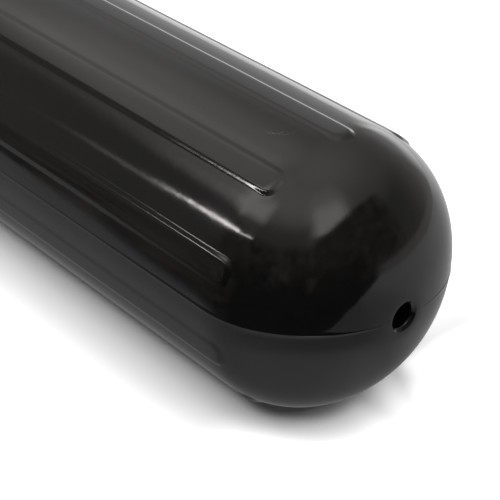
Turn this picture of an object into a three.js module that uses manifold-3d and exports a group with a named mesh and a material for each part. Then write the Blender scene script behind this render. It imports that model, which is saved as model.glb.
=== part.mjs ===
// Ribbed inflatable boat fender with a rope hole through its whole length.
// Millimetres, +Z up. The fender lies on one rib with its axis along X, and the
// origin is under its middle, on the surface that it lies on.

import * as THREE from 'three';
import { mergeVertices, toCreasedNormals } from 'three/addons/utils/BufferGeometryUtils.js';
import Module from 'manifold-3d';

const wasm = await Module();
wasm.setup();

// Shell: a straight tube between two elliptical domes
const fenderLength = 520; // between the flat lands of the two ends
const shellRadius = 108; // of the tube between its ribs
const domeDepth = 87; // from a land back to where the tube runs straight

// Rope hole
const boreRadius = 9.5;
const mouthChamfer = 2.5; // how far a mouth is opened out, and how deep
const landWidth = 3; // flat ring round a mouth, where a stopper knot seats

// Ribs: low pads that follow the shell, one of them straight down
const ribCount = 10;
const ribWidth = 20.4; // half way up the sloping wall
const ribHeight = 1.1; // crown above the shell
const ribWallRun = 2.4; // how far the wall spreads from the crown to the foot
const ribOverrun = 15; // how far a rib's end reaches out over the dome
const ribCornerRadius = 7; // of a rib's end, seen from above
const ribBite = 1; // root of a rib below the shell

// Flash along the parting line of the two mould halves, which lies level
const flashHeight = 0.5;
const flashThickness = 0.9;
const flashBite = 3; // root of the flash below the shell

// Needle valve: a rubber plug pressed into the far dome, above the rope hole
const valveOffset = 52; // from the rope hole's axis
const valveSink = 0.6; // face of the plug below the dome
const valveHeadRadius = 8;
const valveHeadThickness = 2;
const valveNeckRadius = 4.5;
const valveNeckLength = 4;
const valveCollarStep = 1.5; // barb that holds the plug, beyond the neck
const valveCollarLength = 3;
const valveTipRadius = 3.5;
const valveTipLength = 5;
const valveEdge = 0.5; // chamfer round the head
const needleRadius = 0.9;
const needleDepth = 9;
const needleLeadIn = 1.2; // funnel at the mouth of the needle hole
const valveClearance = 0.3;

// Fineness of the curved faces
const turnSteps = 80;
const domeSteps = 13;
const cornerSteps = 4;
const valveSteps = 24;
const creaseAngle = THREE.MathUtils.degToRad(30); // a sharper edge isn't shaded smooth

// Sizes that follow from the ones above
const mouthRadius = boreRadius + mouthChamfer;
const landRadius = mouthRadius + landWidth;
const tubeLength = fenderLength - 2 * domeDepth;
const domeHalfAxis = domeDepth / Math.sqrt(1 - (landRadius / shellRadius) ** 2);
const crownRadius = shellRadius + ribHeight;
const ribHalfFlat = ribWidth / 2 - ribCornerRadius; // flat strip along the middle of a crown

const vinyl = new THREE.MeshStandardMaterial({ color: 0x101114, roughness: 0.28, metalness: 0 });
const rubber = new THREE.MeshStandardMaterial({ color: 0x1b1b1c, roughness: 0.6, metalness: 0 });

// A closed geometry as a solid that can be joined and cut
function toSolid(geometry) {
  const bare = geometry.clone();
  bare.deleteAttribute('normal');
  bare.deleteAttribute('uv');
  const merged = mergeVertices(bare, 1e-4);
  return new wasm.Manifold(new wasm.Mesh({
    numProp: 3,
    vertProperties: Float32Array.from(merged.attributes.position.array),
    triVerts: Uint32Array.from(merged.index.array),
  }));
}

// A solid as a geometry that a mesh can show
function toGeometry(solid) {
  const mesh = solid.getMesh();
  const geometry = new THREE.BufferGeometry();
  geometry.setAttribute('position', new THREE.BufferAttribute(mesh.vertProperties, 3));
  geometry.setIndex(new THREE.BufferAttribute(mesh.triVerts, 1));
  return toCreasedNormals(geometry, creaseAngle);
}

// Half outline of the shell from the far end to the near end, moved outwards by an offset.
// It stops on both domes at the same reach from the tube. x is along the axis, y is the radius.
function halfOutline(offset, reach) {
  const lastAngle = Math.asin(reach / (domeHalfAxis + offset));
  const points = [];
  for (let i = 0; i <= domeSteps; i += 1) {
    const angle = (lastAngle * i) / domeSteps;
    const x = tubeLength / 2 + (domeHalfAxis + offset) * Math.sin(angle);
    const y = (shellRadius + offset) * Math.cos(angle);
    points.unshift(new THREE.Vector2(-x, y));
    points.push(new THREE.Vector2(x, y));
  }
  return points;
}

// Tube, domes, lands and rope hole as one turned profile, its axis along X
function turnedShell() {
  const end = fenderLength / 2;
  const hole = [
    new THREE.Vector2(end, mouthRadius),
    new THREE.Vector2(end - mouthChamfer, boreRadius),
    new THREE.Vector2(mouthChamfer - end, boreRadius),
    new THREE.Vector2(-end, mouthRadius),
  ];
  const outline = [...halfOutline(0, domeDepth), ...hole];
  const profile = [...outline, outline[0]].map((p) => new THREE.Vector2(p.y, p.x));
  return new THREE.LatheGeometry(profile, turnSteps).rotateZ(-Math.PI / 2);
}

// Lines of a rib's grid, across all of it. Each is at a fixed distance from the rib's middle, and the
// outer ones also have a share of the rounded corner.
function gridLines(distances) {
  const half = distances.map((base) => ({ base, share: 0 }));
  for (let i = 1; i <= cornerSteps; i += 1) {
    half.push({ base: distances.at(-1), share: i / cornerSteps });
  }
  const otherHalf = half.map(({ base, share }) => ({ base: -base, share: -share })).reverse();
  return [...otherHalf, ...half];
}

// Where two lines of the grid cross in the rib's plan, with the plan grown by an outset all round
function planPoint(along, across, outset) {
  const radius = ribCornerRadius + outset;
  return new THREE.Vector2(
    along.base + radius * along.share * Math.sqrt(1 - across.share ** 2 / 2),
    across.base + radius * across.share * Math.sqrt(1 - along.share ** 2 / 2),
  );
}

// A point of a rib's plan at a height above the shell, for a rib that points up from the axis
function onShell(plan, height) {
  const overrun = Math.max(0, Math.abs(plan.x) - tubeLength / 2);
  const radius = shellRadius * Math.sqrt(1 - (overrun / domeHalfAxis) ** 2);
  const slope = (Math.sign(plan.x) * overrun) / domeHalfAxis ** 2;
  const normal = new THREE.Vector2(slope, radius / shellRadius ** 2).normalize();
  const beside = Math.max(0, Math.abs(plan.y) - ribHalfFlat);
  const rise = Math.sqrt((radius + height * normal.y) ** 2 - beside ** 2);
  return [plan.x + height * normal.x, plan.y, rise];
}

// One rib, pointing up from the axis: a pad with sloping walls that follows the tube and the domes
function rib() {
  const cornerStart = tubeLength / 2 + ribOverrun - ribCornerRadius;
  const along = gridLines([tubeLength / 2, (tubeLength / 2 + cornerStart) / 2, cornerStart]);
  const across = gridLines([ribHalfFlat]);
  const pad = new THREE.BoxGeometry(1, 1, 1, along.length - 1, across.length - 1, 1);
  const position = pad.attributes.position;
  for (let i = 0; i < position.count; i += 1) {
    const column = Math.round((position.getX(i) + 0.5) * (along.length - 1));
    const row = Math.round((position.getY(i) + 0.5) * (across.length - 1));
    const height = position.getZ(i) > 0 ? ribHeight : -ribBite;
    const outset = ribWallRun * (0.5 - height / ribHeight);
    position.setXYZ(i, ...onShell(planPoint(along[column], across[row], outset), height));
  }
  return pad;
}

// The flash on one side: a thin band that follows the shell's outline and stops short of the lands
function flash() {
  const reach = domeDepth - flashHeight;
  const outer = halfOutline(flashHeight, reach);
  const inner = halfOutline(-flashBite, reach * ((domeHalfAxis - flashBite) / (domeHalfAxis + flashHeight)));
  const band = new THREE.ExtrudeGeometry(new THREE.Shape([...outer, ...inner.reverse()]), {
    depth: flashThickness,
    bevelEnabled: false,
  });
  return band.translate(0, 0, -flashThickness / 2);
}

// Turned profile below a valve's face. The plug and its pocket share it, and the pocket is the
// same profile grown by the clearance.
function valveStem(gap) {
  const headBase = -valveHeadThickness;
  const collarTop = headBase - valveNeckLength;
  const collarBase = collarTop - valveCollarLength;
  const tip = collarBase - valveTipLength;
  const collarRadius = valveNeckRadius + valveCollarStep;
  return [
    new THREE.Vector2(valveHeadRadius + gap, headBase - gap),
    new THREE.Vector2(valveNeckRadius + gap, headBase - gap),
    new THREE.Vector2(valveNeckRadius + gap, collarTop + gap),
    new THREE.Vector2(collarRadius + gap, collarTop + gap),
    new THREE.Vector2(collarRadius + gap, collarBase - gap),
    new THREE.Vector2(valveTipRadius + gap, tip - gap),
    new THREE.Vector2(0, tip - gap),
  ];
}

// The plug with its needle hole, its face in the plane y = 0
function valvePlug() {
  const profile = [
    new THREE.Vector2(0, -needleDepth),
    new THREE.Vector2(needleRadius, -needleDepth),
    new THREE.Vector2(needleRadius, -needleLeadIn),
    new THREE.Vector2(needleRadius + needleLeadIn, 0),
    new THREE.Vector2(valveHeadRadius - valveEdge, 0),
    new THREE.Vector2(valveHeadRadius, -valveEdge),
    ...valveStem(0),
  ];
  return new THREE.LatheGeometry(profile.reverse(), valveSteps);
}

// The space that the plug needs, open upwards past the dome
function valvePocket() {
  const opening = valveHeadRadius + valveClearance;
  const profile = [
    new THREE.Vector2(0, valveHeadRadius),
    new THREE.Vector2(opening, valveHeadRadius),
    ...valveStem(valveClearance),
  ];
  return new THREE.LatheGeometry(profile.reverse(), valveSteps);
}

// Where the valve's face sits on the far dome, and the way that it looks
function valvePlace() {
  const depth = domeHalfAxis * Math.sqrt(1 - (valveOffset / shellRadius) ** 2);
  const normal = new THREE.Vector3(-depth / domeHalfAxis ** 2, 0, valveOffset / shellRadius ** 2).normalize();
  const position = new THREE.Vector3(-tubeLength / 2 - depth, 0, valveOffset).addScaledVector(normal, -valveSink);
  const turn = new THREE.Quaternion().setFromUnitVectors(new THREE.Vector3(0, 1, 0), normal);
  return { position, turn };
}

// The moulded shell: turned body, ribs and flash joined, and the valve's pocket cut out
function mouldedShell(place) {
  let solid = toSolid(turnedShell());
  for (let i = 0; i < ribCount; i += 1) {
    const angle = Math.PI + (i * 2 * Math.PI) / ribCount;
    solid = solid.add(toSolid(rib().rotateX(angle)));
  }
  for (const angle of [0, Math.PI]) {
    solid = solid.add(toSolid(flash().rotateX(angle)));
  }
  const unit = new THREE.Vector3(1, 1, 1);
  const pocket = valvePocket().applyMatrix4(new THREE.Matrix4().compose(place.position, place.turn, unit));
  return toGeometry(solid.subtract(toSolid(pocket)));
}

const place = valvePlace();

const shell = new THREE.Mesh(mouldedShell(place), vinyl);
shell.name = 'fender_shell';

const plug = new THREE.Mesh(valvePlug(), rubber);
plug.name = 'valve_plug';
plug.position.copy(place.position);
plug.quaternion.copy(place.turn);

// Both are made round the axis and lifted until the lowest rib's crown meets the ground
const fender = new THREE.Group();
fender.add(shell, plug);
fender.position.z = crownRadius;

const group = new THREE.Group();
group.add(fender);

export default group;
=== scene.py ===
"""Looks of a ribbed, inflatable boat fender: its moulded vinyl shell, its needle valve and its studio."""

import logging
import math
from dataclasses import dataclass, field
from enum import Enum
from typing import Callable, Iterable

import bmesh
import bpy
from mathutils import Matrix, Vector, noise


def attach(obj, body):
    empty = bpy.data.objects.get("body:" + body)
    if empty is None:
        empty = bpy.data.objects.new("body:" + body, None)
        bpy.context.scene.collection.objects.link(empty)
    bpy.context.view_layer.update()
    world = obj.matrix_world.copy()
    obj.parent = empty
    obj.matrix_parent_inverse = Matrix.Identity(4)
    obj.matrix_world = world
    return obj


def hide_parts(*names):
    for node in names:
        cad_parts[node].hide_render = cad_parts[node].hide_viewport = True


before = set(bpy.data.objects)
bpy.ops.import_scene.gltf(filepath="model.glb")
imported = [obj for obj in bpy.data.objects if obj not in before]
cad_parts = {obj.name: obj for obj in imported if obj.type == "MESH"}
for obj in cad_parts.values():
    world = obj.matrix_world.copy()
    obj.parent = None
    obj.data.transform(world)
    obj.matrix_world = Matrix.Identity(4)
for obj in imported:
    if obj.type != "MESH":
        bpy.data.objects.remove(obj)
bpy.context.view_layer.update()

LOG = logging.getLogger("fender")
BODY = "root"
Socket = bpy.types.NodeSocket
MM = 0.001
FULL_TURN = 2 * math.pi
QUARTER_TURN = math.pi / 2
TINY = 0.01 * MM  # two places closer than this count as one
MERGE = 0.02 * MM  # vertices closer than this are merged


class Part(Enum):
    """What an edit-mode pick selects."""

    VERT = "VERT"
    EDGE = "EDGE"
    FACE = "FACE"


def deselect_all() -> None:
    """Leaves object mode with nothing selected."""
    if bpy.context.object and bpy.context.object.mode != "OBJECT":
        bpy.ops.object.mode_set(mode="OBJECT")
    bpy.ops.object.select_all(action="DESELECT")


def activate(piece: bpy.types.Object) -> None:
    """Makes one piece the only selected and the active one.

    Args:
        piece: the piece.
    """
    deselect_all()
    piece.select_set(True)
    bpy.context.view_layer.objects.active = piece


def pick(piece: bpy.types.Object, part: Part, test: Callable[[Vector], bool]) -> None:
    """Selects the edges or faces of the piece in edit mode whose vertices all pass a test.

    Args:
        piece: the piece, in edit mode.
        part: whether edges or faces are picked.
        test: takes a vertex's place and says whether it counts.
    """
    bpy.ops.mesh.select_mode(type=part.value)
    bpy.ops.mesh.select_all(action="DESELECT")
    work = bmesh.from_edit_mesh(piece.data)
    passing = {vert for vert in work.verts if test(vert.co)}
    for element in work.edges if part is Part.EDGE else work.faces:
        if passing.issuperset(element.verts):
            element.select_set(True)
    work.select_flush_mode()
    bmesh.update_edit_mesh(piece.data)


def pick_edges(piece: bpy.types.Object, test: Callable[[Vector, Vector, bool], bool]) -> int:
    """Selects edges in edit mode by their two ends.

    Args:
        piece: the piece, in edit mode.
        test: takes both ends and whether the edge is on an open border, and says whether it counts.

    Returns:
        How many edges were selected.
    """
    bpy.ops.mesh.select_mode(type=Part.EDGE.value)
    bpy.ops.mesh.select_all(action="DESELECT")
    work = bmesh.from_edit_mesh(piece.data)
    chosen = [e for e in work.edges if test(e.verts[0].co, e.verts[1].co, e.is_boundary)]
    for edge in chosen:
        edge.select_set(True)
    work.select_flush_mode()
    bmesh.update_edit_mesh(piece.data)
    return len(chosen)


def place_selected(piece: bpy.types.Object, move: Callable[[Vector], Vector]) -> None:
    """Moves each selected vertex in edit mode to where a function says.

    Args:
        piece: the piece, in edit mode.
        move: takes a vertex's place and gives the new one.
    """
    work = bmesh.from_edit_mesh(piece.data)
    for vert in work.verts:
        if vert.select:
            vert.co = move(vert.co)
    bmesh.update_edit_mesh(piece.data)


def apply_modifier(piece: bpy.types.Object, kind: str, **settings: object) -> None:
    """Adds a modifier to the piece, sets it and applies it.

    Args:
        piece: the piece.
        kind: the modifier's Blender type.
        settings: its properties.
    """
    activate(piece)
    modifier = piece.modifiers.new(kind.lower(), kind)
    for name, value in settings.items():
        setattr(modifier, name, value)
    bpy.ops.object.modifier_apply(modifier=modifier.name)


def direction(azimuth: float, elevation: float) -> Vector:
    """The unit vector towards an azimuth and an elevation in degrees, azimuth 0 being -Y and 90 being +X."""
    a, e = math.radians(azimuth), math.radians(elevation)
    return Vector((math.sin(a) * math.cos(e), -math.cos(a) * math.cos(e), math.sin(e)))


def only_mirrored(card: bpy.types.Object) -> None:
    """Marks a piece as part of the stage that only shows in reflections.

    Args:
        card: the piece.
    """
    for ray in ("camera", "diffuse", "shadow", "transmission", "volume_scatter"):
        setattr(card, "visible_" + ray, False)


def smooth(share: float) -> float:
    """An S-shaped rise from 0 to 1."""
    t = min(1.0, max(0.0, share))
    return t * t * (3 - 2 * t)


class Nodes:
    """A short way to write a material's nodes."""

    def __init__(self, material: bpy.types.Material | bpy.types.World) -> None:
        """Empties the material's node tree and keeps it.

        Args:
            material: the material or world.
        """
        material.use_nodes = True
        self.tree = material.node_tree
        self.tree.nodes.clear()

    def add(self, kind: str, inputs: dict[str, object] | None = None, **settings: object) -> bpy.types.Node:
        """Adds a node.

        Args:
            kind: the node's Blender type.
            inputs: values or output sockets for its inputs, by name.
            settings: its properties.

        Returns:
            The node.
        """
        node = self.tree.nodes.new(kind)
        for name, value in settings.items():
            setattr(node, name, value)
        for name, value in (inputs or {}).items():
            socket = node.inputs[int(name)] if name.isdigit() else node.inputs[name]
            if isinstance(value, Socket):
                self.tree.links.new(value, socket)
            else:
                socket.default_value = value
        return node

    def math(self, operation: str, *values: object) -> Socket:
        """Adds a math node on numbers or sockets and gives its result."""
        inputs = {str(i): value for i, value in enumerate(values)}
        return self.add("ShaderNodeMath", inputs, operation=operation).outputs[0]

    def ramp(self, value: Socket, low: float, high: float) -> Socket:
        """A smooth step of a value from low to high."""
        inputs = {"Value": value, "From Min": low, "From Max": high}
        return self.add("ShaderNodeMapRange", inputs, interpolation_type="SMOOTHSTEP").outputs[0]

    def place(self) -> Socket:
        """Where the shaded point is, in the piece's own coordinates."""
        return self.add("ShaderNodeTexCoord").outputs["Object"]

    def parts(self, vector: Socket) -> dict[str, Socket]:
        """X, Y and Z of a vector."""
        return self.add("ShaderNodeSeparateXYZ", {"Vector": vector}).outputs

    def away(self, place: Socket, centre: Iterable[float]) -> Socket:
        """The way from a fixed point to a place."""
        return self.add("ShaderNodeVectorMath", {"0": place, "1": centre}, operation="SUBTRACT").outputs[0]

    def length(self, vector: Socket) -> Socket:
        """How long a vector is."""
        return self.add("ShaderNodeVectorMath", {"0": vector}, operation="LENGTH").outputs["Value"]

    def tinted(self, tint: Iterable[float], level: Socket) -> Socket:
        """A tint at a level."""
        return self.add("ShaderNodeVectorMath", {"0": tint, "Scale": level}, operation="SCALE").outputs[0]

    def noise(self, place: Socket, scale: float, detail: float) -> Socket:
        """Soft noise from 0 to 1, finer where its scale is larger."""
        inputs = {"Vector": place, "Scale": scale, "Detail": detail}
        return self.add("ShaderNodeTexNoise", inputs).outputs["Fac"]

    def blend(self, share: Socket, first: Socket, second: Socket) -> Socket:
        """A colour between two, which are the mix node's inputs 6 and 7, while its output 2 is the colour."""
        inputs = {"0": share, "6": first, "7": second}
        return self.add("ShaderNodeMix", inputs, data_type="RGBA").outputs[2]

    def surface(self, shader: bpy.types.Node) -> None:
        """Makes a shader the material's surface."""
        self.add("ShaderNodeOutputMaterial", {"Surface": shader.outputs[0]})


@dataclass(frozen=True)
class Span:
    """Two values between which a share rises softly from 0 to 1, or falls if the first is the greater."""

    start: float
    end: float

    def share(self, n: Nodes, value: Socket) -> Socket:
        """The share at a value."""
        return n.ramp(value, self.start, self.end)


@dataclass(frozen=True)
class Scuff:
    """A short curved scratch: the part of a thin ring on one side, worn through in places.

    The side is given as an azimuth in degrees, 0 towards -Y and 90 towards +X.
    """

    centre: tuple[float, float, float]
    radius: float
    toward: float
    half_width: float = 0.8 * MM
    fray: float = 1.2 * MM
    fray_detail: float = 2.0
    reach: Span = Span(0.45, 0.8)  # shares of the radius
    wear: Span = Span(0.42, 0.56)

    def mask(self, n: Nodes, place: Socket) -> Socket:
        """1 in the scratch and 0 beside it.

        Args:
            n: the material's nodes.
            place: where the shaded point is.

        Returns:
            The mask.
        """
        away = n.away(place, self.centre)
        frayed = n.noise(place, 1 / self.fray, self.fray_detail)
        shifted = n.math("MULTIPLY_ADD", frayed, self.fray, n.length(away))
        beside = n.math("ABSOLUTE", n.math("SUBTRACT", shifted, self.radius + self.fray / 2))
        ring = n.ramp(beside, self.half_width, self.half_width / 3)
        parts = n.parts(away)
        side = math.radians(self.toward)
        forward = n.math("MULTIPLY", parts["Y"], -math.cos(side))
        lean = n.math("MULTIPLY_ADD", parts["X"], math.sin(side), forward)
        facing = n.ramp(lean, self.reach.start * self.radius, self.reach.end * self.radius)
        return n.math("MULTIPLY", n.math("MULTIPLY", ring, facing), self.wear.share(n, frayed))


@dataclass(frozen=True)
class GlossVinyl:
    """Black plasticised vinyl as it comes from a mould, with a fine ripple, haze and a few light scuffs."""

    color: tuple[float, float, float] = (0.0036, 0.0035, 0.0034)
    roughness: float = 0.08
    ior: float = 1.5
    haze: float = 0.05
    haze_span: Span = Span(0.42, 0.72)
    cloud_scale: float = 22.0
    cloud_detail: float = 4.0
    ripple_height: float = 0.05 * MM
    ripple_size: float = 9 * MM
    grain_height: float = 0.0015 * MM
    grain_size: float = 1.5 * MM
    grain_span: Span = Span(0.4, 0.6)
    relief_detail: float = 2.0
    scuff_color: float = 0.045
    scuffs: tuple[Scuff, ...] = (
        Scuff(centre=(146 * MM, -26 * MM, 213 * MM), radius=8.2 * MM, toward=32.0),
        Scuff(centre=(149 * MM, -21 * MM, 214 * MM), radius=11.5 * MM, toward=38.0, half_width=0.35 * MM),
    )

    def build(self) -> bpy.types.Material:
        """Makes the material.

        Returns:
            The material.
        """
        material = bpy.data.materials.new("gloss_black_vinyl")
        n = Nodes(material)
        place = n.place()
        ripple = n.noise(place, 1 / self.ripple_size, self.relief_detail)
        grain = n.noise(place, 1 / self.grain_size, self.relief_detail)
        clouds = n.noise(place, self.cloud_scale, self.cloud_detail)
        haze = n.math("MULTIPLY", self.haze_span.share(n, clouds), self.haze)
        worn = n.math("MULTIPLY", grain, self.grain_span.share(n, clouds))
        low = n.add("ShaderNodeBump", {"Height": ripple, "Distance": self.ripple_height}).outputs[0]
        fine = n.add("ShaderNodeBump", {"Height": worn, "Distance": self.grain_height, "Normal": low})
        inputs = {
            "Base Color": self.worn_color(n, place),
            "Roughness": n.math("ADD", haze, self.roughness),
            "IOR": self.ior,
            "Normal": fine.outputs[0],
        }
        shader = n.add("ShaderNodeBsdfPrincipled", inputs)
        n.surface(shader)
        return material

    def worn_color(self, n: Nodes, place: Socket) -> Socket:
        """The vinyl's black with its scuffs in grey.

        Args:
            n: the material's nodes.
            place: where the shaded point is.

        Returns:
            The colour.
        """
        marks: object = 0.0
        for scuff in self.scuffs:
            marks = n.math("MAXIMUM", marks, scuff.mask(n, place))
        levels = {
            name: n.math("MULTIPLY_ADD", marks, self.scuff_color, part)
            for name, part in zip(("Red", "Green", "Blue"), self.color)
        }
        return n.add("ShaderNodeCombineColor", levels).outputs[0]


@dataclass(frozen=True)
class ValveRubber:
    """Plain black rubber, duller than the shell, with a fine grain."""

    color: tuple[float, float, float] = (0.018, 0.018, 0.019)
    roughness: float = 0.5
    unevenness: float = 0.15
    grain_height: float = 0.015 * MM
    grain_size: float = 0.6 * MM
    grain_detail: float = 3.0

    def build(self) -> bpy.types.Material:
        """Makes the material.

        Returns:
            The material.
        """
        material = bpy.data.materials.new("valve_rubber")
        n = Nodes(material)
        grain = n.noise(n.place(), 1 / self.grain_size, self.grain_detail)
        least = self.roughness - self.unevenness / 2
        inputs = {
            "Base Color": (*self.color, 1.0),
            "Roughness": n.math("ADD", n.math("MULTIPLY", grain, self.unevenness), least),
            "Normal": n.add("ShaderNodeBump", {"Height": grain, "Distance": self.grain_height}).outputs[0],
        }
        shader = n.add("ShaderNodeBsdfPrincipled", inputs)
        n.surface(shader)
        return material


@dataclass(frozen=True)
class Dome:
    """The end of the shell: half an ellipse turned about the rope hole's axis, cut flat at the nose."""

    tube_half: float
    radius: float
    depth: float
    land_radius: float

    @property
    def half_axis(self) -> float:
        """Half axis of the ellipse along the fender, which the flat land cuts short."""
        return self.depth / math.sqrt(1 - (self.land_radius / self.radius) ** 2)

    def radius_at(self, x: float) -> float:
        """Radius of the shell at a distance from the middle of the fender."""
        out = max(0.0, x - self.tube_half) / self.half_axis
        return self.radius * math.sqrt(max(0.0, 1 - out * out))

    def reach_at(self, radius: float) -> float:
        """Distance from the middle of the fender at which the dome has a radius."""
        return self.tube_half + self.half_axis * math.sqrt(1 - (radius / self.radius) ** 2)


@dataclass(frozen=True)
class RibShape:
    """One rib: its plan half way up its wall, and the soft slope of that wall."""

    width: float = 19.0 * MM
    height: float = 1.2 * MM
    overrun: float = 15 * MM
    corner: float = 7 * MM
    end_rise: float = 0.45 * MM
    parting_ease: float = 0.42
    wall_run: float = 5.4 * MM
    wall_fullness: float = 2.6
    wall_steps: int = 12
    crown_rows: tuple[float, ...] = (1.5 * MM, 1.5 * MM)
    crown_cuts: tuple[float, ...] = (-0.5, 0.0, 0.5)

    @property
    def foot(self) -> float:
        """How far the foot of the wall stands outside its middle."""
        return self.wall_run / 2

    def wall_rise(self, share: float) -> float:
        """How high the wall is, straight in the middle of the slope and round at both ends.

        Args:
            share: share of the way up the wall.

        Returns:
            The share of the rib's height there.
        """
        turn = 2 * share - 1
        power = self.wall_fullness + 1
        full = self.wall_fullness / power
        return (turn - math.copysign(abs(turn) ** power / power, turn) + full) / (2 * full)

    def insets(self) -> list[tuple[float, float]]:
        """Steps from the foot inwards.

        Returns:
            Pairs of how far in and how far up: an S-shaped slope, then level rows round the crown.
        """
        rise = [self.wall_rise(i / self.wall_steps) * self.height for i in range(self.wall_steps + 1)]
        inwards = self.wall_run / self.wall_steps
        slope = [(inwards, high - low) for low, high in zip(rise, rise[1:])]
        return slope + [(row, 0.0) for row in self.crown_rows]


@dataclass
class FenderShell:
    """The moulded shell with its ribs, domes, flash line, rope hole and valve pocket.

    Angles are in degrees. The softened inner edge of the chamfer is given as pairs of depth and step,
    in millimetres.
    """

    name: str = "moulded_shell"
    node: str = "fender_shell"
    slot: str = "black_vinyl"
    rib: RibShape = field(default_factory=RibShape)
    rib_count: int = 10
    length: float = 520 * MM
    rib_drift: tuple[float, ...] = (0.0, 0.0, -0.3, -0.33, 0.95, 0.0, 0.0, 0.0, 0.0, 0.0)
    drift_from: float = 7.5
    drift_to: float = 17.5
    shell_radius: float = 107.9 * MM
    dome_depth: float = 87 * MM
    bore_radius: float = 9.5 * MM
    mouth_chamfer: float = 2.5 * MM
    mouth_soft: float = 0.35 * MM
    mouth_turn: float = 1.4
    mouth_steps: int = 4
    inner_edge: tuple[tuple[float, float], ...] = (
        (-0.5, 0.52),
        (-0.2, 0.24),
        (0.05, 0.09),
        (0.3, 0.02),
        (0.7, 0.0),
        (6.0, 0.0),
        (30.0, 0.0),
    )
    land_width: float = 3 * MM
    seam_gap: float = 7 * MM
    row_pitch: float = 1 * MM
    side_steps: int = 45
    corner_steps: int = 10
    between_cuts: int = 6
    dome_rows: int = 36
    flash_half: float = 0.45 * MM
    flash_core: float = 0.9
    flash_steps: int = 4
    flash_height: float = 0.3 * MM
    flash_share: float = 0.45
    flash_lead: float = 0.2
    flash_fade: float = 6 * MM
    wave_height: float = 0.35 * MM
    wave_size: float = 70 * MM
    wave_fade: float = 20 * MM
    crease: float = 38.0

    def __post_init__(self) -> None:
        """Works out the sizes that follow from the fields."""
        self.axis_height = self.shell_radius + self.rib.height
        self.mouth_radius = self.bore_radius + self.mouth_chamfer
        self.dome = Dome(
            tube_half=self.length / 2 - self.dome_depth,
            radius=self.shell_radius,
            depth=self.dome_depth,
            land_radius=self.mouth_radius + self.land_width,
        )
        self.sector = FULL_TURN / self.rib_count
        self.half_sector = self.shell_radius * self.sector / 2
        self.rib_half_length = self.dome.tube_half + self.rib.overrun
        self.corner_x = self.rib_half_length - self.rib.corner
        self.corner_y = self.rib.width / 2 - self.rib.corner
        self.foot_half_width = self.rib.width / 2 + self.rib.foot
        self.foot_end = self.rib_half_length + self.rib.foot
        self.seam = self.foot_end + self.seam_gap
        self.rings = self.nose_rings()

    def nose_rings(self) -> list[tuple[float, float]]:
        """Places along the outline from the seam to the middle of the rope hole.

        Returns:
            Pairs of distance from the fender's middle and radius: the dome, the land, the chamfer
            with its two soft edges, and the bore.
        """
        start = math.asin((self.seam - self.dome.tube_half) / self.dome.half_axis)
        end = math.acos(self.dome.land_radius / self.dome.radius)
        rings = []
        for row in range(1, self.dome_rows + 1):
            angle = start + (end - start) * row / self.dome_rows
            x = self.dome.tube_half + self.dome.half_axis * math.sin(angle)
            rings.append((x, self.dome.radius * math.cos(angle)))
        nose = self.length / 2
        for step in range(self.mouth_steps + 1):
            slope = step / self.mouth_steps * QUARTER_TURN / 2
            x = nose - self.mouth_soft * (1 - math.cos(slope))
            rings.append((x, self.mouth_radius + self.mouth_soft * (1 - math.sin(slope) * self.mouth_turn)))
        inner = nose - self.mouth_chamfer
        for depth, step in self.inner_edge:
            rings.append((inner - depth * MM, self.bore_radius + step * MM))
        return rings

    def rib_plan(self) -> bpy.types.Object:
        """One rib embossed on a flat sheet, its fillets made by a row of insets.

        Returns:
            The sheet, in edit mode.
        """
        deselect_all()
        bpy.ops.mesh.primitive_plane_add(size=2)
        sheet = bpy.context.object
        sheet.name = self.name
        bpy.ops.object.mode_set(mode="EDIT")
        bpy.ops.transform.resize(value=(self.foot_end, self.foot_half_width, 1))
        bpy.ops.mesh.select_mode(type=Part.VERT.value)
        bpy.ops.mesh.bevel(
            affect="VERTICES",
            offset=self.rib.corner + self.rib.foot,
            segments=self.corner_steps,
            clamp_overlap=False,
        )
        pick_edges(sheet, lambda a, b, rim: abs(a.x - b.x) > 2 * self.corner_x - TINY)
        bpy.ops.mesh.subdivide(number_cuts=self.side_steps - 1)
        pick_edges(sheet, self.is_end_edge)
        bpy.ops.mesh.subdivide(number_cuts=1)
        pick(sheet, Part.FACE, lambda co: True)
        for inwards, upwards in self.rib.insets():
            bpy.ops.mesh.inset(thickness=inwards, depth=upwards, use_even_offset=True)
        self.cut_crown(sheet)
        return sheet

    def is_end_edge(self, a: Vector, b: Vector, rim: bool) -> bool:
        """Whether an edge of the flat plan is the straight part of one of its ends.

        Args:
            a: one end of the edge.
            b: the other end.
            rim: whether it is on the open border; not used.

        Returns:
            Whether it is.
        """
        across = abs(a.x - b.x) < TINY and min(abs(a.x), abs(b.x)) > self.corner_x + TINY
        return across and all(abs(abs(end.y) - self.corner_y) < TINY for end in (a, b))

    def cut_crown(self, sheet: bpy.types.Object) -> None:
        """Cuts the flat face on top of the rib into squares along its length.

        Args:
            sheet: the flat sheet, with that face selected.
        """
        step = 2 * self.corner_x / self.side_steps
        for i in range(self.side_steps + 1):
            bpy.ops.mesh.bisect(plane_co=(i * step - self.corner_x, 0, 0), plane_no=(1, 0, 0))
            self.pick_crown(sheet)
        for share in self.rib.crown_cuts:
            bpy.ops.mesh.bisect(plane_co=(0, share * 2 * self.corner_y, 0), plane_no=(0, 1, 0))
            self.pick_crown(sheet)

    def pick_crown(self, sheet: bpy.types.Object) -> None:
        """Selects the faces inside the innermost inset.

        Args:
            sheet: the flat sheet.
        """
        inset = sum(inwards for inwards, _ in self.rib.insets())
        x = self.foot_end - inset + TINY
        y = self.foot_half_width - inset + TINY
        pick(sheet, Part.FACE, lambda co: abs(co.x) < x and abs(co.y) < y)

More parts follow.
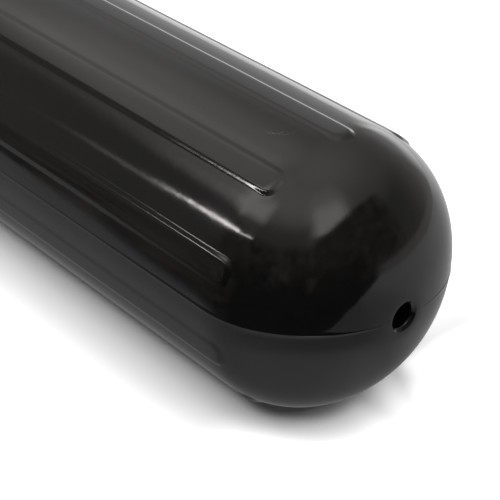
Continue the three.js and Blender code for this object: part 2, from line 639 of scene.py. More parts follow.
    def add_surround(self, sheet: bpy.types.Object) -> None:
        """Draws the sheet out from the rib's foot to the edges of its share of the shell.

        Args:
            sheet: the flat sheet.
        """
        pick_edges(sheet, lambda a, b, rim: rim)
        bpy.ops.mesh.extrude_region_move()
        place_selected(sheet, self.to_rectangle)

        def on_edge(co: Vector) -> bool:
            """Whether a point is on the sheet's edge."""
            return abs(co.x) > self.seam - TINY or abs(co.y) > self.half_sector - TINY

        def on_foot(co: Vector) -> bool:
            """Whether a point is at the rib's foot."""
            return abs(co.z) < TINY and not on_edge(co)

        def between(a: Vector, b: Vector, rim: bool) -> bool:
            """Whether an edge runs from the foot to the sheet's edge."""
            return not rim and (on_edge(a) and on_foot(b) or on_edge(b) and on_foot(a))

        pick_edges(sheet, between)
        bpy.ops.mesh.subdivide(number_cuts=self.between_cuts)
        LOG.info("rib foot %.4f by %.4f m, sheet to %.4f m", self.foot_end, self.foot_half_width, self.seam)

    def to_rectangle(self, co: Vector) -> Vector:
        """Where a point of the rib's foot goes on the edge of the flat sheet.

        Args:
            co: the point.

        Returns:
            Its place on the edge.
        """
        x, y = abs(co.x), abs(co.y)
        half_steps = self.corner_steps / 2
        if x <= self.corner_x + TINY:
            target = Vector((x, self.half_sector, 0))
        elif y <= self.corner_y + TINY:
            share = y / self.corner_y / (half_steps + 1)
            target = Vector((self.seam, self.half_sector * share, 0))
        else:
            angle = math.atan2(x - self.corner_x, y - self.corner_y)
            steps = angle / QUARTER_TURN * self.corner_steps
            if steps <= half_steps:
                along = self.corner_x + (self.seam - self.corner_x) * steps / half_steps
                target = Vector((along, self.half_sector, 0))
            else:
                across = 1 - (steps - half_steps) / (half_steps + 1)
                target = Vector((self.seam, self.half_sector * across, 0))
        return Vector((math.copysign(target.x, co.x), math.copysign(target.y, co.y), 0))

    def add_noses(self, sheet: bpy.types.Object) -> None:
        """Draws both ends of the sheet out by one row for each ring of the nose.

        Args:
            sheet: the flat sheet.
        """
        for side in (1, -1):
            pick_edges(sheet, lambda a, b, rim: rim and min(a.x * side, b.x * side) > self.seam - TINY)
            for _ in self.rings:
                bpy.ops.mesh.extrude_region_move()
                place_selected(sheet, lambda co: co + Vector((side * self.row_pitch, 0, 0)))

    def wrap(self, co: Vector) -> Vector:
        """Where a point of the flat sheet goes on the round shell, the rib pointing down.

        Args:
            co: a point of the sheet: along the fender, across the rib, and height above the shell.

        Returns:
            The point on the shell, its axis through the origin.
        """
        along, side = abs(co.x), math.copysign(1.0, co.x)
        even = co.y / self.half_sector * self.sector / 2
        if along > self.seam + TINY:
            row = round((along - self.seam) / self.row_pitch)
            x, radius = self.rings[row - 1]
            angle = even
        else:
            x, radius = along, self.dome.radius_at(along)
            straight = self.straight_angle(abs(co.y), radius)
            blend = smooth((along - self.foot_end) / self.seam_gap)
            angle = math.copysign(straight, co.y) * (1 - blend) + even * blend
        bare = Vector((side * x, radius * math.sin(angle), -radius * math.cos(angle)))
        over = smooth((along - self.dome.tube_half) / self.rib.overrun)
        rise = co.z * (1 + over * self.rib.end_rise / self.rib.height)
        return bare + self.normal_at(bare) * rise

    def straight_angle(self, across: float, radius: float) -> float:
        """Angle about the axis at which the rib's long edges stay parallel, also over the dome.

        Args:
            across: how far the point is from the rib's middle on the flat sheet.
            radius: the shell's radius there.

        Returns:
            The angle.
        """
        foot_angle = math.asin(self.foot_half_width / radius)
        if across <= self.foot_half_width:
            return math.asin(across / radius)
        share = (across - self.foot_half_width) / (self.half_sector - self.foot_half_width)
        return foot_angle + (self.sector / 2 - foot_angle) * share

    def close_round(self, shell: bpy.types.Object) -> None:
        """Wraps the sheet, repeats it round the axis and closes it along its seams and through the bore.

        Args:
            shell: the flat sheet, which becomes the shell.
        """
        bpy.ops.mesh.select_all(action="SELECT")
        place_selected(shell, self.wrap)
        copies = self.rib_count - 1
        angle = self.sector * copies
        bpy.ops.mesh.select_all(action="SELECT")
        bpy.ops.mesh.spin(steps=copies, dupli=True, angle=angle, center=(0, 0, 0), axis=(1, 0, 0))
        bpy.ops.mesh.select_all(action="SELECT")
        bpy.ops.mesh.remove_doubles(threshold=MERGE)
        bpy.ops.mesh.select_all(action="SELECT")
        place_selected(shell, self.ease_parting_walls)
        place_selected(shell, self.drift_ribs)
        rims = pick_edges(shell, lambda a, b, rim: rim)
        bpy.ops.mesh.bridge_edge_loops()
        LOG.info("bore closed between %d rim edges", rims)

    def ease_parting_walls(self, co: Vector) -> Vector:
        """Lowers the rib walls next to the parting line, where a steep wall would hold the mould.

        Args:
            co: a point of the shell.

        Returns:
            Its new place.
        """
        rise = math.hypot(co.y, co.z) - self.dome.radius_at(abs(co.x))
        angle = math.atan2(abs(co.y), -co.z)
        rib_angle = round(angle / self.sector) * self.sector
        beside_parting = abs(rib_angle - QUARTER_TURN) < self.sector
        if rise < TINY or not beside_parting or abs(co.x) > self.foot_end:
            return co
        towards = (angle - rib_angle) * (1 if rib_angle < QUARTER_TURN else -1)
        share = smooth(0.5 + towards * self.shell_radius / self.rib.width)
        normal = self.normal_at(co)
        return co - normal * rise * share * self.rib.parting_ease

    def drift_ribs(self, co: Vector) -> Vector:
        """Moves each rib round the shell by its small drift from even spacing, and nothing between ribs.

        Args:
            co: a point of the shell.

        Returns:
            Its new place.
        """
        angle = math.atan2(-co.y, -co.z) % FULL_TURN
        rib = round(angle / self.sector)
        off = math.degrees(abs(angle - rib * self.sector))
        share = smooth((self.drift_to - off) / (self.drift_to - self.drift_from))
        turn = math.radians(self.rib_drift[rib % self.rib_count]) * share
        return Matrix.Rotation(-turn, 3, "X") @ co

    def raise_flash(self, shell: bpy.types.Object) -> None:
        """Raises the thin flash where the two halves of the mould met.

        Args:
            shell: the shell, in edit mode.
        """

        def on_parting(co: Vector) -> bool:
            """Whether a point is on the parting line, outside the mouth of the rope hole."""
            return abs(co.z) < MERGE and math.hypot(co.y, co.z) > self.mouth_radius - MERGE

        pick(shell, Part.EDGE, on_parting)
        bpy.ops.mesh.bevel(
            affect="EDGES", offset=self.flash_half, segments=self.flash_steps, clamp_overlap=True
        )
        bpy.ops.mesh.select_all(action="SELECT")
        place_selected(shell, self.lift_flash)

    def lift_flash(self, co: Vector) -> Vector:
        """Moves a point near the parting line out by the flash's height there.

        Args:
            co: the point.

        Returns:
            Its new place.
        """
        radius = math.hypot(co.y, co.z)
        if radius < self.mouth_radius or abs(co.z) > self.flash_half * self.flash_core:
            return co
        share = math.cos(min(1.0, abs(co.z) / self.flash_half) * QUARTER_TURN) ** 2
        fade = smooth((radius - self.dome.land_radius) / self.flash_fade)
        out = smooth((abs(co.x) - self.dome.tube_half) / self.dome.depth + self.flash_lead)
        height = self.flash_height * (self.flash_share + (1 - self.flash_share) * out)
        return co + self.normal_at(co) * height * share * fade

    def normal_at(self, co: Vector) -> Vector:
        """Outward normal of the plain shell.

        Args:
            co: a point on or near the shell, its axis through the origin.

        Returns:
            The normal there.
        """
        out = max(0.0, abs(co.x) - self.dome.tube_half)
        x = math.copysign(out / self.dome.half_axis**2, co.x)
        return Vector((x, co.y / self.dome.radius**2, co.z / self.dome.radius**2)).normalized()

    def add_waves(self, shell: bpy.types.Object) -> None:
        """Gives the shell the slight unevenness of soft vinyl blown up with air, always inwards.

        Args:
            shell: the shell, in object mode.
        """
        mesh = shell.data
        normals = [vert.normal.copy() for vert in mesh.vertices]
        for vert, normal in zip(mesh.vertices, normals):
            radius = math.hypot(vert.co.y, vert.co.z)
            if radius > self.dome.land_radius:
                wave = noise.noise(vert.co / self.wave_size) * 0.5 - 0.5
                fade = smooth((radius - self.dome.land_radius) / self.wave_fade)
                vert.co += normal * wave * fade * self.wave_height
            vert.co.z = max(vert.co.z, -self.axis_height)
        mesh.update()

    def build(self, finish: GlossVinyl, pocket: bpy.types.Object) -> bpy.types.Object:
        """Builds the shell, cuts the valve's pocket and dresses it.

        Args:
            finish: the vinyl.
            pocket: the solid that is cut away for the valve.

        Returns:
            The finished shell.
        """
        shell = self.rib_plan()
        self.add_surround(shell)
        self.add_noses(shell)
        self.close_round(shell)
        self.raise_flash(shell)
        bpy.ops.mesh.select_all(action="SELECT")
        bpy.ops.mesh.normals_make_consistent(inside=False)
        bpy.ops.object.mode_set(mode="OBJECT")
        self.add_waves(shell)
        shell.data.transform(Matrix.Translation((0, 0, self.axis_height)))
        apply_modifier(shell, "BOOLEAN", operation="DIFFERENCE", object=pocket, solver="EXACT")
        bpy.data.objects.remove(pocket)
        activate(shell)
        bpy.ops.object.shade_smooth_by_angle(angle=math.radians(self.crease))
        shell.data.materials.clear()
        shell.data.materials.append(finish.build())
        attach(shell, BODY)
        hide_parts(self.node)
        return shell


@dataclass
class NeedleValve:
    """The rubber plug in the far dome, through which a needle blows the fender up."""

    dome: Dome
    axis_height: float
    name: str = "needle_valve"
    node: str = "valve_plug"
    slot: str = "valve_rubber"
    offset: float = 52 * MM
    sink: float = 0.6 * MM
    head_radius: float = 8 * MM
    head_thickness: float = 2 * MM
    stem_radius: float = 4.5 * MM
    stem_length: float = 12 * MM
    needle_radius: float = 0.9 * MM
    needle_depth: float = 9 * MM
    clearance: float = 0.3 * MM
    sides: int = 64
    crease: float = 35.0
    stem_taper: float = 0.78
    rim_bevel: float = 0.5 * MM
    rim_steps: int = 4
    rim_zone: float = 0.9  # share of the head's radius beyond which an edge is on its rim
    step_share: float = 0.3  # share of the head's radius from its rim to the step in its face
    step_run: float = 0.25 * MM
    step_depth: float = 0.2 * MM
    funnel_reach: float = 3.2  # in needle radii, as is the next
    funnel_run: float = 2.0
    funnel_depth: float = 0.8 * MM
    pocket_wall: float = 0.55  # share of the sink
    pocket_chamfer: float = 0.7 * MM
    chamfer_spread: float = 1.09
    mouth_rise: float = 4 * MM
    mouth_spread: float = 1.75

    def placing(self) -> Matrix:
        """From the valve's own frame, its face at z = 0 and looking along +Z, to its place in the dome.

        Returns:
            The matrix that places it.
        """
        x = -self.dome.reach_at(self.offset)
        out = (x + self.dome.tube_half) / self.dome.half_axis**2
        normal = Vector((out, 0, self.offset / self.dome.radius**2)).normalized()
        spot = Vector((x, 0, self.offset + self.axis_height)) - normal * self.sink
        return Matrix.Translation(spot) @ normal.to_track_quat("Z", "Y").to_matrix().to_4x4()

    def pocket(self) -> bpy.types.Object:
        """The solid that is cut out of the shell for the plug's head, opening wider at the rim.

        Returns:
            The solid, in its place.
        """
        steps = (
            (self.sink * self.pocket_wall, 1.0),
            (self.pocket_chamfer, self.chamfer_spread),
            (self.mouth_rise, self.mouth_spread),
        )
        cutter = self.cylinder(self.head_radius + self.clearance, self.head_thickness + self.clearance)
        for rise, spread in steps:
            top = max(vert.co.z for vert in cutter.data.vertices)
            pick(cutter, Part.FACE, lambda co: co.z > top - TINY)
            bpy.ops.mesh.extrude_region_move(TRANSFORM_OT_translate={"value": (0, 0, rise)})
            bpy.ops.transform.resize(value=(spread, spread, 1))
            bpy.ops.object.mode_set(mode="OBJECT")
            bpy.ops.object.mode_set(mode="EDIT")
        bpy.ops.object.mode_set(mode="OBJECT")
        cutter.data.transform(self.placing())
        return cutter

    def cylinder(self, radius: float, depth: float) -> bpy.types.Object:
        """A cylinder whose top is at z = 0.

        Args:
            radius: its radius.
            depth: how far it reaches down.

        Returns:
            The cylinder, in edit mode.
        """
        deselect_all()
        bpy.ops.mesh.primitive_cylinder_add(
            vertices=self.sides, radius=radius, depth=depth, location=(0, 0, -depth / 2)
        )
        bpy.ops.object.transform_apply(location=True, rotation=True, scale=True)
        bpy.ops.object.mode_set(mode="EDIT")
        return bpy.context.object

    def build(self, finish: ValveRubber) -> bpy.types.Object:
        """Turns the plug, opens its needle hole and seats it in its pocket.

        Args:
            finish: the rubber.

        Returns:
            The finished plug.
        """
        plug = self.cylinder(self.head_radius, self.head_thickness)
        plug.name = self.name
        base = -self.head_thickness
        pick(plug, Part.FACE, lambda co: co.z < base + TINY)
        bpy.ops.mesh.inset(thickness=self.head_radius - self.stem_radius)
        bpy.ops.mesh.extrude_region_move(TRANSFORM_OT_translate={"value": (0, 0, -self.stem_length)})
        bpy.ops.transform.resize(value=(self.stem_taper, self.stem_taper, 1))
        pick(plug, Part.FACE, lambda co: co.z > -TINY)
        to_step = self.head_radius * self.step_share
        to_funnel = self.head_radius - to_step - self.funnel_reach * self.needle_radius
        bpy.ops.mesh.inset(thickness=to_step, depth=0)
        bpy.ops.mesh.inset(thickness=self.step_run, depth=-self.step_depth)
        bpy.ops.mesh.inset(thickness=to_funnel, depth=0)
        bpy.ops.mesh.inset(thickness=self.funnel_run * self.needle_radius, depth=-self.funnel_depth)
        bpy.ops.mesh.extrude_region_move(TRANSFORM_OT_translate={"value": (0, 0, -self.needle_depth)})
        pick_edges(plug, self.is_rim_edge)
        bpy.ops.mesh.bevel(offset=self.rim_bevel, segments=self.rim_steps)
        bpy.ops.object.mode_set(mode="OBJECT")
        plug.data.transform(self.placing())
        bpy.ops.object.shade_smooth_by_angle(angle=math.radians(self.crease))
        plug.data.materials.append(finish.build())
        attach(plug, BODY)
        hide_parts(self.node)
        return plug

    def is_rim_edge(self, a: Vector, b: Vector, rim: bool) -> bool:
        """Whether an edge is on the rim of the plug's face.

        Args:
            a: one end of the edge.
            b: the other end.
            rim: whether it is on an open border; not used.

        Returns:
            Whether it is.
        """
        outside = self.head_radius * self.rim_zone
        return all(end.z > -TINY and end.xy.length > outside for end in (a, b))


@dataclass(frozen=True)
class Softbox:
    """A square lamp that faces the fender and lights the scene softly."""

    name: str
    azimuth: float
    elevation: float
    size: float
    share: float
    distance: float = 2.4

    def build(self, target: Vector) -> bpy.types.Object:
        """Hangs the lamp, as bright as its share of the light on the floor asks.

        Args:
            target: the point that it faces.

        Returns:
            The lamp.
        """
        data = bpy.data.lights.new(self.name, "AREA")
        data.shape = "SQUARE"
        data.size = self.size
        data.energy = math.pi**2 * self.share * self.distance**2 / math.sin(math.radians(self.elevation))
        lamp = bpy.data.objects.new(self.name, data)
        bpy.context.scene.collection.objects.link(lamp)
        away = direction(self.azimuth, self.elevation)
        turn = away.to_track_quat("Z", "Y").to_matrix().to_4x4()
        lamp.matrix_world = Matrix.Translation(target + away * self.distance) @ turn
        lamp.visible_camera = False
        lamp.visible_glossy = False
        return lamp


@dataclass(frozen=True)
class Pane:
    """A soft-edged pane of painted reflection in the tent's wall, brighter or darker than the painted cloth
    round it.

    Azimuths and elevations are in degrees, and so are the feathers, left and right, lower and upper.
    The edges of an arched pane are straight in space, so they sink on both sides of the azimuth of the
    arch, where its elevations are measured.
    """

    azimuths: tuple[float, float]
    elevations: tuple[float, float]
    level: float
    side_feathers: tuple[float, float] = (8.0, 8.0)
    edge_feathers: tuple[float, float] = (6.0, 6.0)
    arch: float | None = None
    mottle: float = 0.0
    neutral: bool = False

    def mask(self, n: Nodes, azimuth: Socket, elevation: Socket) -> Socket:
        """1 inside the pane, 0 outside it and soft between.

        Args:
            n: the tent material's nodes.
            azimuth: azimuth of the shaded point, in degrees.
            elevation: elevation of the shaded point, in degrees.

        Returns:
            The mask.
        """
        height = elevation
        if self.arch is not None:
            turn = n.math("COSINE", n.math("RADIANS", n.math("SUBTRACT", azimuth, self.arch)))
            slope = n.math("DIVIDE", n.math("TANGENT", n.math("RADIANS", elevation)), turn)
            height = n.math("DEGREES", n.math("ARCTANGENT", slope))
        across = (azimuth, self.azimuths, self.side_feathers)
        upwards = (height, self.elevations, self.edge_feathers)
        mask: object = 1.0
        for value, (low, high), (low_feather, high_feather) in (across, upwards):
            rise = n.ramp(value, low - low_feather / 2, low + low_feather / 2)
            fall = n.ramp(value, high + high_feather / 2, high - high_feather / 2)
            mask = n.math("MULTIPLY", mask, n.math("MULTIPLY", rise, fall))
        return mask


@dataclass
class Spot:
    """A shaded point of the floor, and how far it is off the line on which the fender lies."""

    n: Nodes
    line_half: float
    x: Socket = field(init=False)
    y: Socket = field(init=False)
    off: Socket = field(init=False)

    def __post_init__(self) -> None:
        """Works out where the point is."""
        n = self.n
        parts = n.parts(n.place())
        self.x = parts["X"]
        self.y = parts["Y"]
        past = n.math("MAXIMUM", n.math("SUBTRACT", n.math("ABSOLUTE", self.x), self.line_half), 0.0)
        self.off = n.math("SQRT", n.math("ADD", n.math("POWER", past, 2.0), n.math("POWER", self.y, 2.0)))


@dataclass(frozen=True)
class Zone:
    """A soft-edged part of the floor and the painted light that it adds or takes.

    Its spans are of the way off the fender's line, of X and of Y, and of that way again where it ends.
    """

    level: float
    off: Span | None = None
    along: Span | None = None
    across: Span | None = None
    off_end: Span | None = None

    def light(self, spot: Spot) -> Socket:
        """How much light it adds.

        Args:
            spot: the shaded point.

        Returns:
            The light.
        """
        bounds = ((spot.off, self.off), (spot.x, self.along), (spot.y, self.across), (spot.off, self.off_end))
        light: object = self.level
        for value, span in bounds:
            if span is not None:
                light = spot.n.math("MULTIPLY", light, span.share(spot.n, value))
        return light


def lit(spot: Spot, level: float, zones: Iterable[Zone]) -> Socket:
    """The painted light at a point of the floor.

    Args:
        spot: the point.
        level: the painted light outside all the zones.
        zones: what adds to it or takes from it.

    Returns:
        The light.
    """
    light: object = level
    for zone in zones:
        light = spot.n.math("ADD", light, zone.light(spot))
    return light


@dataclass(frozen=True)
class RoomEdge:
    """The edge between the dark room and the white sheet, as its card and as the sheet shows it."""

    corners: tuple[tuple[float, float], ...] = (
        (-4.5, -0.42),
        (-0.2, -0.36),
        (0.0, -0.31),
        (0.1, -0.3),
        (0.2, -0.285),
        (0.27, -0.25),
        (0.32, -0.2),
        (0.38, -0.14),
        (0.45, -0.09),
        (0.6, -0.05),
        (0.9, 0.065),
        (1.8, 0.49),
        (4.5, 1.7),
        (4.5, -4.5),
        (-4.5, -4.5),
    )
    y: float = -0.262  # where the edge crosses x = 0, as the sheet shows it
    far_slope: float = 0.28  # behind x = 0
    near_bend: float = 0.12
    near_slope: float = 0.25
    softness: Span = Span(-0.035, 0.03)
    end: Span = Span(0.28, 0.36)

    def sheet_share(self, spot: Spot) -> Socket:
        """1 on the sheet's side of the edge and 0 on the room's.

        Args:
            spot: the shaded point.

        Returns:
            The share.
        """
        n = spot.n
        far = n.math("MULTIPLY_ADD", n.math("MINIMUM", spot.x, 0.0), self.far_slope, self.y)
        past = n.math("MAXIMUM", n.math("SUBTRACT", spot.x, self.near_bend), 0.0)
        edge = n.math("MULTIPLY_ADD", past, self.near_slope, far)
        inside = self.softness.share(n, n.math("SUBTRACT", spot.y, edge))
        return n.math("MAXIMUM", inside, self.end.share(n, spot.x))


@dataclass
class Studio:
    """A white sheet in a tent. Its front is open to a dark room, which the glossy vinyl mirrors. The tent,
    the room and the sheet as the vinyl mirrors them are painted reflections, glowing on a dome and on cards
    that show in reflections only.

    Its centre is the near end of the fender's axis.
    """

    centre: Vector
    floor_size: float = 8.0
    floor_color: float = 0.96
    line_inset: float = 95 * MM  # from the fender's end to the end of the line on which it lies
    # painted light: zones of glow that only the camera sees on the floor, which paint the edge of the
    # fender's shadow
    floor_zones: tuple[Zone, ...] = (
        Zone(0.16, Span(40 * MM, 56 * MM)),
        Zone(-0.16, Span(40 * MM, 56 * MM), Span(150 * MM, 190 * MM), Span(10 * MM, 30 * MM)),
        Zone(0.42, Span(64 * MM, 150 * MM)),
        Zone(0.6, Span(44 * MM, 88 * MM), Span(158 * MM, 223 * MM), Span(85 * MM, 40 * MM)),
        Zone(0.45, Span(80 * MM, 98 * MM), Span(184 * MM, 202 * MM), Span(48 * MM, 70 * MM)),
        Zone(0.9, Span(0.3, 1.0)),
    )
    # painted reflection of the white sheet: a glow dimmed in a painted shadow round the fender and brighter
    # behind it
    sheet_level: float = 0.22
    sheet_zones: tuple[Zone, ...] = (
        Zone(0.17, Span(85 * MM, 165 * MM)),
        Zone(-0.08, Span(85 * MM, 165 * MM), Span(0.28, 0.36), Span(0.1, 0.0)),
        Zone(0.13, Span(60 * MM, 115 * MM), Span(0.16, 0.24), Span(0.06, 0.0), Span(205 * MM, 165 * MM)),
        Zone(0.13, Span(0.2, 1.2)),
        Zone(0.15, across=Span(0.1, 0.35)),
        Zone(0.45, along=Span(0.3, -0.3), across=Span(0.12, 0.4)),
    )
    # painted reflection of the dark room's floor, for the room card
    room_floor_level: float = 0.025
    room_zones: tuple[Zone, ...] = (
        Zone(0.07, along=Span(0.19, 0.05)),
        Zone(0.085, along=Span(-0.02, -0.22)),
    )
    room_edge: RoomEdge = RoomEdge()
    sheet_height: float = 1.5 * MM
    room_height: float = 3 * MM
    world_fill: float = 0.15
    tent_radius: float = 4.0
    tent_fineness: int = 5
    # painted reflection: the tent cloth's glow, brighter higher up
    cloth_level: float = 0.5
    cloth_rise: float = 0.66
    cloth_span: Span = Span(36, 86)  # degrees of elevation
    tent_mottle: float = 2.4
    room_mottle: float = 9.0
    mottle_detail: float = 5.0
    mottle_least: float = 0.15
    cloth_tint: tuple[float, float, float] = (1.0, 0.955, 0.92)
    sky_tint: tuple[float, float, float] = (1.0, 1.0, 0.995)
    room_tint: tuple[float, float, float] = (1.0, 0.89, 0.81)
    softboxes: tuple[Softbox, ...] = (
        Softbox("left_softbox", azimuth=-33, elevation=52, size=1.0, share=0.42),
        Softbox("right_softbox", azimuth=85, elevation=50, size=1.0, share=0.22),
        Softbox("top_softbox", azimuth=150, elevation=82, size=2.0, share=0.28),
    )
    # painted reflections: the brightest panes are painted highlights of softboxes and of a thin strip light,
    # and the dim, mottled ones paint the dark room
    panes: tuple[Pane, ...] = (
        Pane((-60, 110), (50, 76), 1.22, (20, 20), (22, 10)),
        Pane((-8, 54), (18, 42), 0.37, (14, 10), (8, 12)),
        Pane((52, 96), (50, 70), 1.45, (20, 20), (8, 14)),
        Pane((-143, -104), (-20, 36), 0.65, (8, 24), (1, 10), neutral=True),
        Pane((-170, -150), (-20, 24), 0.76, (12, 10), (1, 14), neutral=True),
        Pane((-112, -58), (35.5, 74), 1.1, (30, 14), (12, 14)),
        Pane((-94, -80), (36, 56), 1.42, (12, 12), (10, 12)),
        Pane((-167, -144), (-20, 11), 1.8, (16, 6), (1, 9), neutral=True),
        Pane((-66, -40), (-20, 32.5), 0.27, (12, 8), (1, 10)),
        Pane((128, 170), (-20, 36.5), 0.25, (10, 44), (1, 18)),
        Pane((-41, 60), (-20, 31), 0.14, (5, 8), (1, 9), mottle=0.8),
        Pane((61, 99), (38, 59), 2.35, (16, 18), (4, 14)),
        Pane((60, 134), (-20, 46), 0.13, (8, 14), (1, 5), arch=112, mottle=0.8),
        Pane((-14, 104), (-20, 14), 0.045, (16, 16), (1, 14), mottle=1.2),
        Pane((26, 44), (6, 26), 0.17, (8, 8), (8, 8), mottle=1.0),
        Pane((57, 65), (-10, 10), 0.14, (5, 5), (1, 5), mottle=1.0),
        Pane((112, 185), (-20, 4.2), 0.5, (12, 10), (1, 3)),
        Pane((-54, -38), (34, 58), 2.45, (15, 6), (8.5, 13)),
        Pane((-42, -3), (43, 58), 2.45, (6, 20), (9, 13), arch=2),
        Pane((-50, -44), (27, 30.3), 1.0, (4, 2), (2, 2), arch=5),
        Pane((-44.9, -39), (29.2, 32.0), 23.0, (3, 1.5), (1.2, 1.2), arch=5),
        Pane((-34, -7), (29.75, 31.05), 12.0, (2, 6), (0.9, 0.9), arch=5),
        Pane((-41, -27), (29.7, 31.5), 20.0, (1.5, 6), (0.9, 0.9), arch=5),
    )

    def build(self) -> list[bpy.types.Object]:
        """Lays the floor and its cards, hangs the lamps, raises the tent and sets the world.

        Returns:
            The studio's pieces and lamps.
        """
        pieces = [self.lay_floor()]
        pieces.extend(softbox.build(self.centre) for softbox in self.softboxes)
        pieces.append(self.raise_tent())
        half = self.floor_size / 2
        square = ((-half, half), (half, half), (half, -half), (-half, -half))
        pieces.append(self.lay_card("sheet_card", self.sheet_height, square, self.sheet_glow))
        pieces.append(self.lay_card("room_card", self.room_height, self.room_edge.corners, self.room_glow))
        self.set_world()
        return pieces

    def spot(self, n: Nodes) -> Spot:
        """The shaded point of the floor."""
        return Spot(n, self.centre.x - self.line_inset)

    def lay_floor(self) -> bpy.types.Object:
        """A large white floor, which takes the fender's shadow. For the camera only, a painted glow in zones
        round the fender narrows that shadow, paints its edge and makes the floor fully white a little way
        off.

        Returns:
            The floor.
        """
        deselect_all()
        bpy.ops.mesh.primitive_plane_add(size=self.floor_size)
        floor = bpy.context.object
        floor.name = "floor"
        material = bpy.data.materials.new("white_floor")
        n = Nodes(material)
        seen = n.add("ShaderNodeLightPath").outputs["Is Camera Ray"]
        # painted light: the zones' glow, for camera rays only
        lift = n.math("MULTIPLY", lit(self.spot(n), 0.0, self.floor_zones), seen)
        glow = n.add("ShaderNodeEmission", {"Strength": lift})
        paint = n.add("ShaderNodeBsdfDiffuse", {"Color": (self.floor_color,) * 3 + (1.0,)})
        both = n.add("ShaderNodeAddShader", {"0": paint.outputs[0], "1": glow.outputs[0]})
        n.surface(both)
        floor.data.materials.append(material)
        return floor

    def lay_card(
        self, name: str, height: float, outline: Iterable[tuple[float, float]], glow: Callable[[Spot], Socket]
    ) -> bpy.types.Object:
        """Lays a card just above the floor that glows with a painted reflection and shows in reflections
        only.

        Args:
            name: its name.
            height: its height above the floor.
            outline: its corners in order, seen from above.
            glow: gives the colour of its painted light at a point.

        Returns:
            The card.
        """
        corners = list(outline)
        deselect_all()
        bpy.ops.mesh.primitive_circle_add(vertices=len(corners), radius=1.0, fill_type="NGON")
        card = bpy.context.object
        card.name = name
        for vert, (x, y) in zip(card.data.vertices, corners):
            vert.co = (x, y, height)
        card.data.update()
        material = bpy.data.materials.new(name)
        n = Nodes(material)
        light = n.add("ShaderNodeEmission", {"Color": glow(self.spot(n)), "Strength": 1.0})
        n.surface(light)
        card.data.materials.append(material)
        only_mirrored(card)
        return card

    def sheet_glow(self, spot: Spot) -> Socket:
        """Painted reflection of the sheet: a painted shadow of the fender dims it, and it is brightest behind
        the fender.

        Args:
            spot: the shaded point.

        Returns:
            The light's colour.
        """
        n = spot.n
        room = self.room_level(spot)
        more = n.math("SUBTRACT", lit(spot, self.sheet_level, self.sheet_zones), room)
        level = n.math("MULTIPLY_ADD", more, self.room_edge.sheet_share(spot), room)
        return n.add("ShaderNodeCombineColor", {"Red": level, "Green": level, "Blue": level}).outputs[0]

    def room_level(self, spot: Spot) -> Socket:
        """How bright the painted reflection of the room's floor is, in steps from in front of the near end to
        the far end.
        """
        return lit(spot, self.room_floor_level, self.room_zones)

    def room_glow(self, spot: Spot) -> Socket:
        """Painted reflection of the dark room's floor, dimmest in front of the fender's end and broken into
        painted dim patches.

        Args:
            spot: the shaded point.

        Returns:
            The light's colour.
        """
        place = spot.n.add("ShaderNodeCombineXYZ", {"X": spot.x, "Y": spot.y}).outputs[0]
        patches = self.mottle(spot.n, place, self.room_mottle, 1.0)
        return spot.n.tinted(self.room_tint, spot.n.math("MULTIPLY", patches, self.room_level(spot)))

    def mottle(self, n: Nodes, place: Socket, scale: float, depth: float) -> Socket:
        """A factor about 1 that breaks an even painted glow up into painted dim patches.

        Args:
            n: the material's nodes.
            place: where the shaded point is.
            scale: how fine the patches are.
            depth: how strong they are.

        Returns:
            The factor.
        """
        patches = n.noise(place, scale, self.mottle_detail)
        factor = n.math("MULTIPLY_ADD", patches, 4 * depth, 1 - 2 * depth)
        return n.math("MAXIMUM", factor, self.mottle_least)

    def raise_tent(self) -> bpy.types.Object:
        """A dome round the scene that shows in reflections only and glows with painted reflections: painted
        highlights in its bright panes and a painted dark room in its dim ones.

        Returns:
            The tent.
        """
        deselect_all()
        bpy.ops.mesh.primitive_ico_sphere_add(
            subdivisions=self.tent_fineness, radius=self.tent_radius, location=self.centre
        )
        tent = bpy.context.object
        tent.name = "tent"
        bpy.ops.object.transform_apply(location=True, rotation=True, scale=True)
        material = bpy.data.materials.new("painted_reflection_tent")
        n = Nodes(material)
        place = n.place()
        away = n.away(place, self.centre)
        parts = n.parts(away)
        backwards = n.math("MULTIPLY", parts["Y"], -1.0)
        azimuth = n.math("DEGREES", n.math("ARCTAN2", parts["X"], backwards))
        elevation = n.math("DEGREES", n.math("ARCSINE", n.math("DIVIDE", parts["Z"], n.length(away))))
        rise = self.cloth_span.share(n, elevation)
        color = n.tinted(self.cloth_tint, n.math("MULTIPLY_ADD", rise, self.cloth_rise, self.cloth_level))
        for pane in self.panes:
            level = n.math("MULTIPLY", self.mottle(n, place, self.tent_mottle, pane.mottle), pane.level)
            cloth = self.sky_tint if pane.neutral else self.cloth_tint
            tint = self.room_tint if pane.mottle else cloth
            color = n.blend(pane.mask(n, azimuth, elevation), color, n.tinted(tint, level))
        glow = n.add("ShaderNodeEmission", {"Color": color, "Strength": 1.0})
        n.surface(glow)
        tent.data.materials.append(material)
        only_mirrored(tent)
        return tent

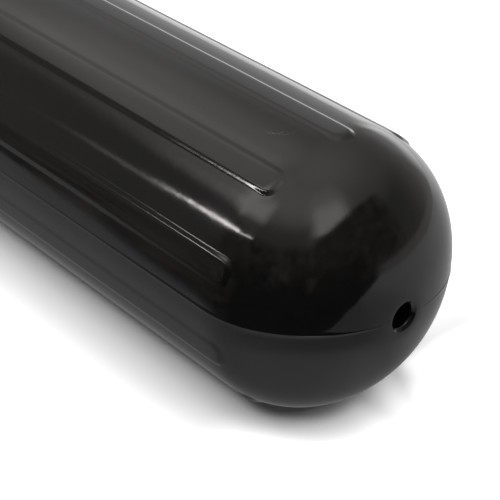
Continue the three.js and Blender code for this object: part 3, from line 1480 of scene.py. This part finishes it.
    def set_world(self) -> None:
        """White where it is seen, and a gentle fill for the rest."""
        world = bpy.data.worlds.new("white_tent")
        bpy.context.scene.world = world
        n = Nodes(world)
        path = n.add("ShaderNodeLightPath").outputs
        mirrored = n.math("MAXIMUM", path["Is Glossy Ray"], path["Is Transmission Ray"])
        seen = n.math("MAXIMUM", path["Is Camera Ray"], mirrored)
        strength = n.math("MULTIPLY_ADD", seen, 1 - self.world_fill, self.world_fill)
        glow = n.add("ShaderNodeBackground", {"Color": (1.0, 1.0, 1.0, 1.0), "Strength": strength})
        n.add("ShaderNodeOutputWorld", {"Surface": glow.outputs[0]})


@dataclass(frozen=True)
class PhotoCamera:
    """The photograph's own viewpoint, found from the fender's outline and ribs."""

    azimuth: float = 45.529
    elevation: float = 30.231
    roll: float = 5.048
    place: tuple[float, float, float] = (0.80408, -0.68694, 0.6577)
    focal_share: float = 1504.6 / 500  # focal length over the picture's width, both in pixels
    sensor: float = 36.0
    nearest: float = 0.05
    farthest: float = 50.0

    def build(self) -> bpy.types.Object:
        """Makes the camera and sets it as the scene's.

        Returns:
            The camera.
        """
        data = bpy.data.cameras.new("photo_camera")
        data.sensor_width = self.sensor
        data.lens = self.focal_share * self.sensor
        data.clip_start = self.nearest
        data.clip_end = self.farthest
        camera = bpy.data.objects.new("photo_camera", data)
        bpy.context.scene.collection.objects.link(camera)
        back = direction(self.azimuth, self.elevation)
        right = Vector((0, 0, 1)).cross(back).normalized()
        up = back.cross(right)
        turn = Matrix((right, up, back)).transposed().to_4x4()
        roll = Matrix.Rotation(math.radians(self.roll), 4, "Z")
        camera.matrix_world = Matrix.Translation(Vector(self.place)) @ turn @ roll
        bpy.context.scene.camera = camera
        return camera


def main() -> None:
    """Builds the camera, the fender's two pieces and the studio, and reports each piece."""
    logging.basicConfig(level=logging.INFO, format="%(name)s: %(message)s")
    bpy.context.scene.view_settings.view_transform = "Standard"
    camera = PhotoCamera().build()
    LOG.info("%s stands at %.3f, %.3f, %.3f m", camera.name, *camera.matrix_world.translation)
    shell = FenderShell()
    valve = NeedleValve(dome=shell.dome, axis_height=shell.axis_height)
    for piece in (shell.build(GlossVinyl(), valve.pocket()), valve.build(ValveRubber())):
        LOG.info("%s has %d faces", piece.name, len(piece.data.polygons))
    studio = Studio(centre=Vector((shell.length / 2, 0, shell.axis_height)))
    for piece in studio.build():
        LOG.info("%s is in place", piece.name)


if __name__ == "__main__":
    main()
